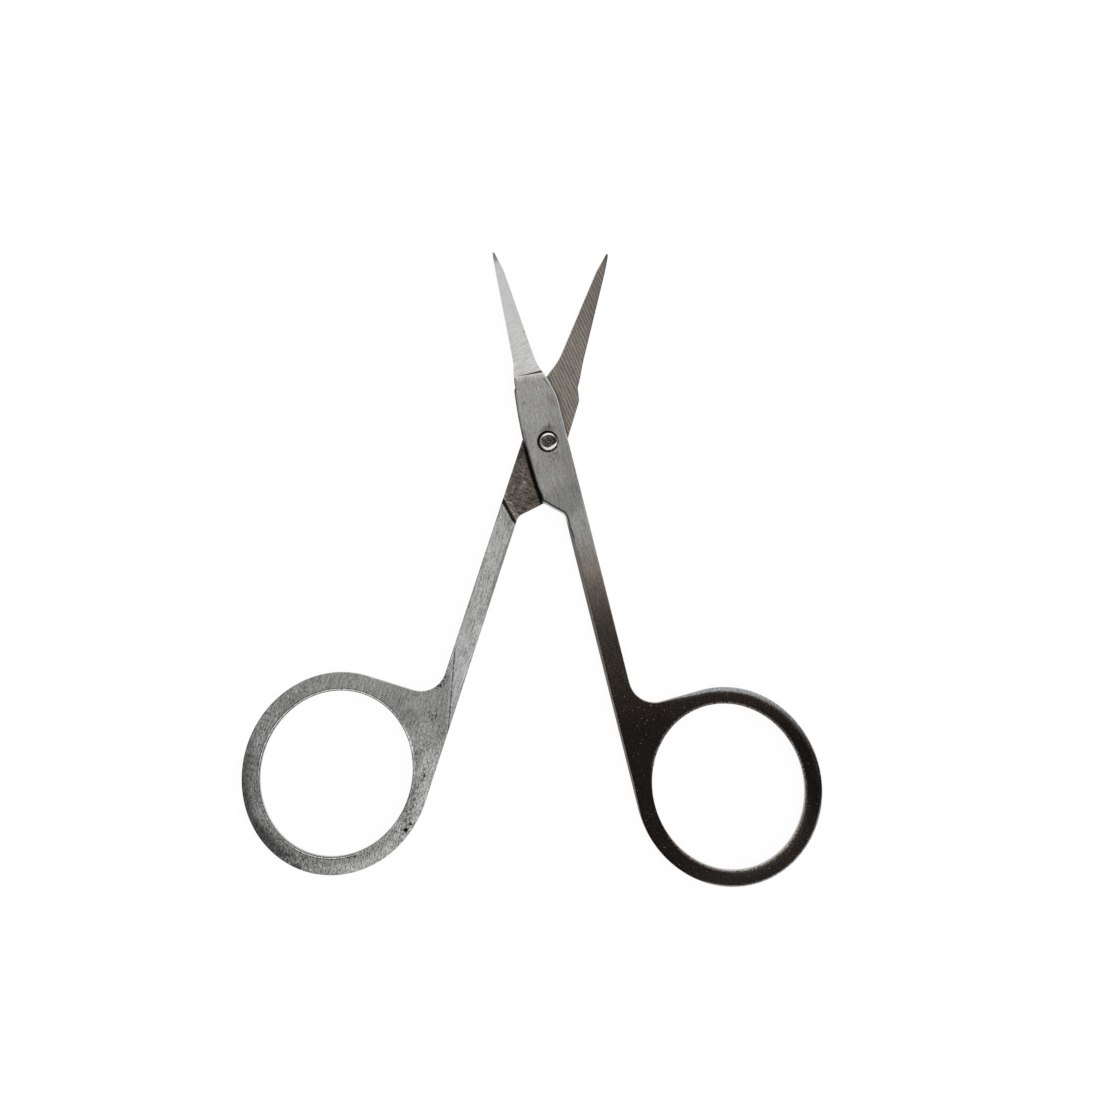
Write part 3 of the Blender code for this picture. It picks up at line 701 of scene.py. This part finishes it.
# Rear half
# The same kind of strip turned over, so that what shows of its blade and plate is the flat face that
# slides on the front half, with the coarse marks of its grinding wheel, and the handle's inner side.

TAIL_SEAT_DEPTH, TAIL_SEAT_SLOPE = 0.45, 0.9


def tail_seat(radius):
    """Depth of the countersink that the rivet's tail is closed into."""
    return np.clip(TAIL_SEAT_DEPTH - (radius - BORE) * TAIL_SEAT_SLOPE, 0, TAIL_SEAT_DEPTH)


rear_satin, bench = steel("rear_satin_steel")
u, v, w = bench.stored("drawn")
edge, rim, step = bench.stored("edges")
_, inner, past_ridge = bench.stored("mate_side_ridge")
tone, stroke = brushed(bench, u, v, 2.0, v.fall(-50.0, -38.0) * 1.9 + 1.9)
# Darker ovals over the ring and shank: specks and pitted stains, and painted shade where the ring's rounded
# crown turns from the light.
ring_stains_and_shade = [
    (26.8, -58.5, 5.0, 6.5, 0.34, False), (21.5, -65.0, 6.5, 3.8, 0.14, False),
    (2.45, -56.8, 0.34, 0.22, 1.0, False), (2.85, -57.8, 0.42, 0.42, 1.0, False),
    (2.7, -57.3, 1.0, 1.6, 0.4, True), (3.45, -59.7, 0.8, 1.1, 0.4, True),
    (15.2, -65.8, 1.0, 0.6, 0.7, True), (17.6, -66.2, 1.6, 1.1, 0.4, True),
    (4.5, -36.9, 1.0, 1.1, 1.0, True), (3.7, -41.3, 0.6, 1.6, 0.8, True),
    (2.7, -49.6, 0.5, 1.4, 0.9, True), (14.0, -66.8, 8.0, 1.6, 0.5, True),
    (20.0, -65.6, 5.0, 2.6, 0.4, True), (4.4, -48.0, 1.2, 2.5, 0.35, False),
    (15.9, -67.3, 1.0, 0.7, 0.7, False), (3.4, -37.5, 1.2, 3.6, 0.2, True),
    (3.2, -54.5, 1.2, 6.0, 0.55, True), (2.3, -41.5, 1.5, 4.0, 0.25, True),
    (7.0, -42.6, 1.8, 1.6, 0.25, False), (4.6, -35.5, 1.5, 1.2, 0.8, True),
]
tone = darkened_in_ovals(bench, tone, u, v, ring_stains_and_shade)
ragged = bench.noise(u * 3.4, v * 3.0, 21.0, 2.0, 0.6)
# Darker along the ring's outer edge at its foot, towards the side away from the shank.
du, dv = (u - 21.8) * 0.155, (v + 65.0) * 0.30
dark_outer_foot = (du * du + dv * dv).fall(0.1, 1.0) * (edge + ragged * 1.2).fall(1.5, 2.7) * 0.66
outer_shade = edge.fall(0.5, 1.4) * v.band(-63.5, -51.0, 1.8) * u.rise(19.0, 22.0)
outer_shade = outer_shade * (v.fall(-60.0, -57.0) * 0.22 + 0.36)
hole_foot = v.fall(-59.0, -57.5) * u.band(4.5, 14.5, 1.5)
hole_side = v.band(-57.0, -50.0, 1.5) * u.fall(6.0, 8.0)
hole_shade = rim.fall(0.8, 1.6) * (hole_foot + hole_side) * 0.28
# Painted shade along the ridge's crease, broken up.
ridge_line = (past_ridge + ragged * 0.2).band(0.0, 0.20, 0.05) * v.band(-46.0, -31.5, 1.0)
inner_edge = (edge + ragged * 0.5).fall(0.3, 0.6) * inner * v.band(-24.0, -15.0, 3.0)
round_hole = (u - REAR["ring_offset"]).rise(-9.0, -3.0)
low_left = v.fall(-58.0, -54.0) * u.rise(16.0, 19.0)
# Painted shade lines and a painted highlight line round the finger hole's rounded edge, a painted highlight
# on the hole's edge on the shank's side, and the face darker towards the step.
outer_dark = rim.band(0.27, 0.40, 0.04) * (0.6 - low_left * 0.4)
rim_lines = (1 - rim.band(-0.2, 0.10, 0.03) * 0.85) * (1 - outer_dark)
tone = tone * (1 - dark_outer_foot) * (1 - outer_shade) * (1 - hole_shade)
tone = tone * (1 - ridge_line * ragged.rise(0.35, 0.50) * 0.8) * (1 - inner_edge * 0.35)
tone = tone * (1 + edge.fall(0.1, 0.7) * inner * v.band(-38.0, -27.0, 2.0) * 0.14)
tone = tone * (1 - step.rise(-2.4, -0.7) * 0.20) * (1 - round_hole + rim_lines * round_hole)
tone = tone * (1 + rim.band(0.12, 0.25, 0.03) * round_hole * (1.5 - low_left))
tone = tone * (1 + rim.band(0.10, 0.38, 0.06) * v.band(-50.0, -44.0, 1.5) * (1 - round_hole))
# Painted light and shade over the handle: lighter towards the shank and darker towards the ring's far side,
# darker on the web past the ridge, and lighter at the ring's top and foot.
web = past_ridge.rise(0.0, 0.6) * v.band(-47.0, -33.0, 3.0)
high, low = v.rise(-50.0, -41.5) * u.rise(9.0, 14.0), v.fall(-66.0, -62.5) * u.band(7.0, 15.0, 2.0)
bright = v.band(-37.0, -29.0, 2.0) * (1 - web) * 0.015 + v.band(-57.0, -47.0, 2.0) * u.fall(2.2, 4.6) * 0.05
tone = tone * (0.275 + u.fall(4.0, 17.0) * 0.145 - web * 0.11 + high * 0.12 + low * 0.06 + bright)
# Painted shade on the step's wall, and lit_brow is a painted highlight on its brow.
step_wall, lit_brow = step.rise(-0.33, -0.22), step.band(-0.52, -0.37, 0.04)
tone = tone * (1 + lit_brow * 0.25) * (1 - step_wall * 0.93)
side = edge.fall(-0.04, 0.01) * w.rise(0.0, 0.4)
tone = tone * (1 - side) + side * 0.34
before_ridge = (1 - past_ridge.rise(-0.2, 0.2)) * v.fall(-32.0, -28.0)
finish(bench, tone, bench.mix(before_ridge, (1.0, 0.995, 0.965, 1.0), (0.97, 0.985, 1.0, 1.0)),
       stroke * 0.14 + 0.22, stroke * 0.010 * (1 - side))
rear = two_sided("rear_half_ground", REAR, FRONT, REAR_OPEN, True, tail_seat,
                 (1.0, 1.1, 1.2, 1.3, 1.4, 1.45, 1.6))
made_plain(rear, marks, {"Mark depth": MARK_DEPTH, "Wave depth": WAVE_DEPTH, "Towards": (0.0, 0.0, -1.0),
                         "Satin": rear_satin, "Blade": cross_ground, "Inner": coarse_ground,
                         "Edge": ground_edge}, CREASE)
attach(rear, "rear")
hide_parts("rear_half")

# Rivet
# A solid steel rivet with a straight shank. Its head, a little off centre in the front half's
# counterbore, has a turned flat top inside a bright bevelled rim, and its tail is closed flush.

polished, bench = steel("turned_rivet_steel")
x, y, _ = bench.own_place()
pits = bench.noise(x * 5.0, y * 5.0, 0.0, 3.0, 0.7)
smear = bench.noise(x * 1.6, y * 2.2, 4.0, 2.0)
# The head: a painted highlight on its bevelled rim, spread wide at the lower right, painted shade on the rim
# at its left and at its right, and a dark pitted flat top, darker towards the right.
across, up = (x - 0.12) * 0.92, (y - 0.02) * 1.08
crescent = (x * 0.55 - y * 0.83).rise(0.74, 0.90)
bevel = (across * across + up * up).rise(0.88, 1.06) * (1 - crescent) + crescent
shaded = (0.05 - x).rise(0.45, 1.05) * 0.5 + (x * 0.94 + y * 0.34).rise(0.95, 1.18) * 0.82
tone = ((pits - 0.5) * 0.9 + (smear - 0.5) * 0.35 + 0.068 - x.rise(0.3, 0.9) * 0.035) * (1 - bevel)
tone = tone + bevel * (1 - shaded) * 0.9
finish(bench, tone, (1.0, 0.97, 0.96, 1.0), pits * 0.2 + 0.12, pits * 0.006 * (1 - bevel))


def lathe():
    """Turns a profile, given as a row of points in the XZ plane, about the Z axis."""
    bench, given = node_group("lathe", {
        "Profile": "Geometry", "Points": "Int", "Turns": "Int", "Head above": "Float",
        "Head shift": "Vector", "Flat shift": "Vector", "Dents": "Float", "Steel": "Material"}, "Turned")
    profile, points, turns, head_above, head_shift, flat_shift, dents, material = given
    grid = bench.node("GeometryNodeMeshGrid", None,
                      {"Size X": 1.0, "Size Y": 1.0, "Vertices X": turns + 1, "Vertices Y": points})
    spot = bench.node("GeometryNodeInputPosition").parts()
    turn = (spot[0] + 0.5) * math.tau
    row = ((spot[1] + 0.5) * (points - 1)).maths("ROUND")
    on_profile = bench.node("GeometryNodeInputPosition")
    sampled = bench.node("GeometryNodeSampleIndex", {"data_type": "FLOAT_VECTOR"},
                         {"Geometry": profile, "Value": on_profile, "Index": row})
    radius, _, height = sampled.parts()
    on_head = height.maths("GREATER_THAN", head_above)
    x, y = radius * turn.maths("COSINE"), radius * turn.maths("SINE")
    around = bench.vector(x, y, height - bench.noise(x * (3 / MM), y * (3 / MM)) * dents * on_head)
    head = bench.scaled(head_shift, on_head)
    flat = bench.scaled(flat_shift, on_head * (radius * (1 / MM)).fall(0.95, 1.26))
    shift = bench.summed(head, flat)
    placed = bench.node("GeometryNodeSetPosition", None,
                        {"Geometry": grid, "Position": bench.summed(around, shift)})
    closed = bench.node("GeometryNodeMergeByDistance", None, {"Geometry": placed, "Distance": 1e-7})
    real = bench.node("GeometryNodeRealizeInstances", None, {"Geometry": closed})
    steel_set = bench.node("GeometryNodeSetMaterial", None, {"Geometry": real, "Material": material})
    bench.feed(bench.tree.nodes.new("NodeGroupOutput").inputs[0], steel_set)
    return bench.tree


RIVET_TURNS, RIVET_CREASE = 96, 50
HEAD_FROM, DENTS = 1.89, 0.02
tail = [(0.0, 0.0), (1.0, 0.0), (1.38, 0.004), (1.0, 0.36)]
shank_side = [(0.90, 0.45), (0.90, 1.88)]
head_side = [(1.24, 1.90), (1.26, 1.93), (1.26, 2.18), (1.256, 2.23)]
head_bevel = [(1.24, 2.285), (1.21, 2.34), (1.17, 2.385), (1.12, 2.42), (1.07, 2.44)]
head_rim = [(1.02, 2.45), (0.98, 2.44), (0.92, 2.42)]
head_flat = [(0.7, 2.405), (0.5, 2.40), (0.3, 2.40), (0.15, 2.40), (0.0, 2.40)]
profile = tail + shank_side + head_side + head_bevel + head_rim + head_flat
mesh = bpy.data.meshes.new("rivet_profile")
mesh.from_pydata([(r * MM, 0.0, z * MM) for r, z in profile],
                 [(i, i + 1) for i in range(len(profile) - 1)], [])
rivet = bpy.data.objects.new("rivet_turned", mesh)
bpy.context.scene.collection.objects.link(rivet)
made_plain(rivet, lathe(), {"Points": len(profile), "Turns": RIVET_TURNS, "Head above": HEAD_FROM * MM,
                            "Head shift": (0.08 * MM, -0.02 * MM, 0.0),
                            "Flat shift": (0.03 * MM, 0.07 * MM, 0.0), "Dents": DENTS * MM,
                            "Steel": polished}, RIVET_CREASE)
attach(rivet, "rear")
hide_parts("pivot_rivet")

# Table, dark card and light
# The scissors lie on a white table under a wide soft ceiling, brighter towards the lower right. A
# dark card hangs over the right handle, out of the camera's sight, and is what that handle mirrors.


def stage_sheet(name, left, near, right, far, height, material):
    """A flat rectangle that is not part of the object."""
    corners = [(left, near, height), (right, near, height), (right, far, height), (left, far, height)]
    mesh = bpy.data.meshes.new(name)
    mesh.from_pydata([tuple(c * MM for c in corner) for corner in corners], [], [(0, 1, 2, 3)])
    mesh.materials.append(material)
    sheet = bpy.data.objects.new(name, mesh)
    bpy.context.scene.collection.objects.link(sheet)
    return sheet


def blended(bench, share, first, second):
    """Ends a material in two shaders, mixed by a share."""
    mixed = bench.node("ShaderNodeMixShader", None, [share, first, second])
    bench.feed(bench.tree.nodes["Material Output"].inputs["Surface"], mixed)


white, bench = steel("white_table")
bench.shader.inputs["Metallic"].default_value = 0.0
bench.shader.inputs["Base Color"].default_value = (0.9, 0.9, 0.9, 1.0)
bench.shader.inputs["Roughness"].default_value = 0.7
rays = bench.node("ShaderNodeLightPath").socket.node.outputs
seen = sum((Reading(bench, rays[label]) for label in ("Is Glossy Ray", "Is Transmission Ray")),
           Reading(bench, rays["Is Camera Ray"]))
glow = bench.node("ShaderNodeEmission", None, {"Color": (1.0, 1.0, 1.0, 1.0), "Strength": 1.035})
blended(bench, seen * 0.9, Reading(bench, bench.shader.outputs[0]), glow)
stage_sheet("table", left=-2000, near=-2000, right=2000, far=2000, height=-0.02, material=white)

dark = bpy.data.materials.new("soft_edged_dark_card")
dark.use_nodes = True
bench = Bench(dark.node_tree)
x, y, _ = bench.own_place()
cover = y.fall(-28.0, -9.0) * x.rise(-6.0, 5.0)
lit_ends = y.fall(-57.0, -51.0) * x.rise(19.0, 24.0) + y.rise(-43.0, -37.0) * x.rise(18.0, 25.0) * 0.10
far_side = bench.mix(lit_ends, (0.027, 0.023, 0.022, 1.0), (0.060, 0.056, 0.054, 1.0))
far_side = bench.mix(x.rise(28.0, 36.0) * y.band(-53.0, -41.0, 3.0), far_side, (0.013, 0.011, 0.010, 1.0))
glow = bench.node("ShaderNodeEmission", None, {
    "Color": bench.mix(y.rise(-42.0, -27.0), far_side, (0.120, 0.112, 0.106, 1.0)), "Strength": 1.0})
clear = bench.node("ShaderNodeBsdfTransparent")
blended(bench, cover, clear, glow)
card = stage_sheet("dark_card", left=-7, near=-140, right=130, far=11, height=20, material=dark)
for rays in ("camera", "diffuse", "transmission", "volume_scatter", "shadow"):
    setattr(card, "visible_" + rays, False)

world = bpy.data.worlds.new("studio")
world.use_nodes = True
bpy.context.scene.world = world
bench = Bench(world.node_tree)
dx, dy, _ = bench.node("ShaderNodeTexCoord", None, out="Generated").parts()
ceiling = (dx * 0.9 + dy * 0.15).rise(-0.75, 0.15) * 0.53 + 0.42
low_right = (dx * 0.8 - dy * 0.6).rise(0.5, 0.9) * 0.5
light = ceiling + low_right + dy.rise(0.4, 0.85) * 0.25
camera_ray = bench.node("ShaderNodeLightPath", None, out="Is Camera Ray")
background = world.node_tree.nodes["Background"]
background.inputs["Color"].default_value = (1.0, 1.0, 1.0, 1.0)
bench.feed(background.inputs["Strength"], light * (1 - camera_ray) + camera_ray)

# Camera
# It looks straight down from half a metre above the table through a long lens, and takes in 154 mm
# at the height of the scissors, as the photograph does.

WIDE = 154.0 * MM
HIGH = 0.50
SEEN_PLANE = 1.6 * MM
MIDDLE_X, MIDDLE_Y = 0.308 * MM, -15.18 * MM
FILM = 36.0
lens = bpy.data.cameras.new("camera")
lens.sensor_width = FILM
lens.lens = FILM * (HIGH - SEEN_PLANE) / WIDE
lens.clip_start = 0.01
camera = bpy.data.objects.new("camera", lens)
camera.location = (MIDDLE_X, MIDDLE_Y, HIGH)
bpy.context.scene.collection.objects.link(camera)
bpy.context.scene.camera = camera
bpy.context.scene.view_settings.view_transform = "Standard"
